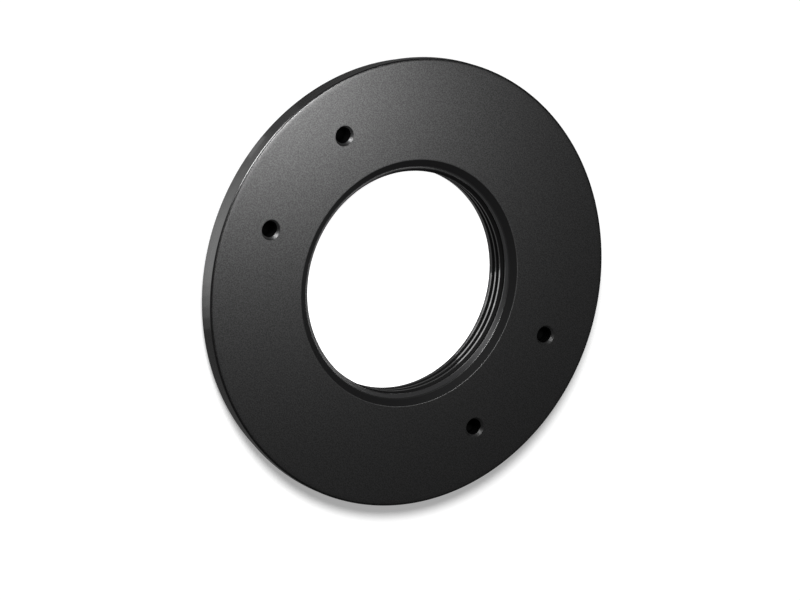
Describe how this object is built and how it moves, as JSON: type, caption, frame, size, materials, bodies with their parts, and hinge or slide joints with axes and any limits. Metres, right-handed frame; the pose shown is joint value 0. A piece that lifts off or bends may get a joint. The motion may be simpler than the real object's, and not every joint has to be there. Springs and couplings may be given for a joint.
{
  "type": "lens adapter ring",
  "caption": "Flat turned ring with a front lip, a rear register and boss, a threaded bore for a lens and small tapped holes in its front face.",
  "frame": {"origin": "on the bore axis, in the plane of the rear boss that the ring lies on", "axes": "+Z along the bore axis, out of the front face; +X through the middle of one pair of tapped holes"},
  "size_m": [0.0584, 0.0584, 0.0048],
  "materials": {
    "ring": "bead blasted, black anodised"
  },
  "bodies": {
    "root": {"adapter_ring": "ring"}
  },
  "joints": []
}
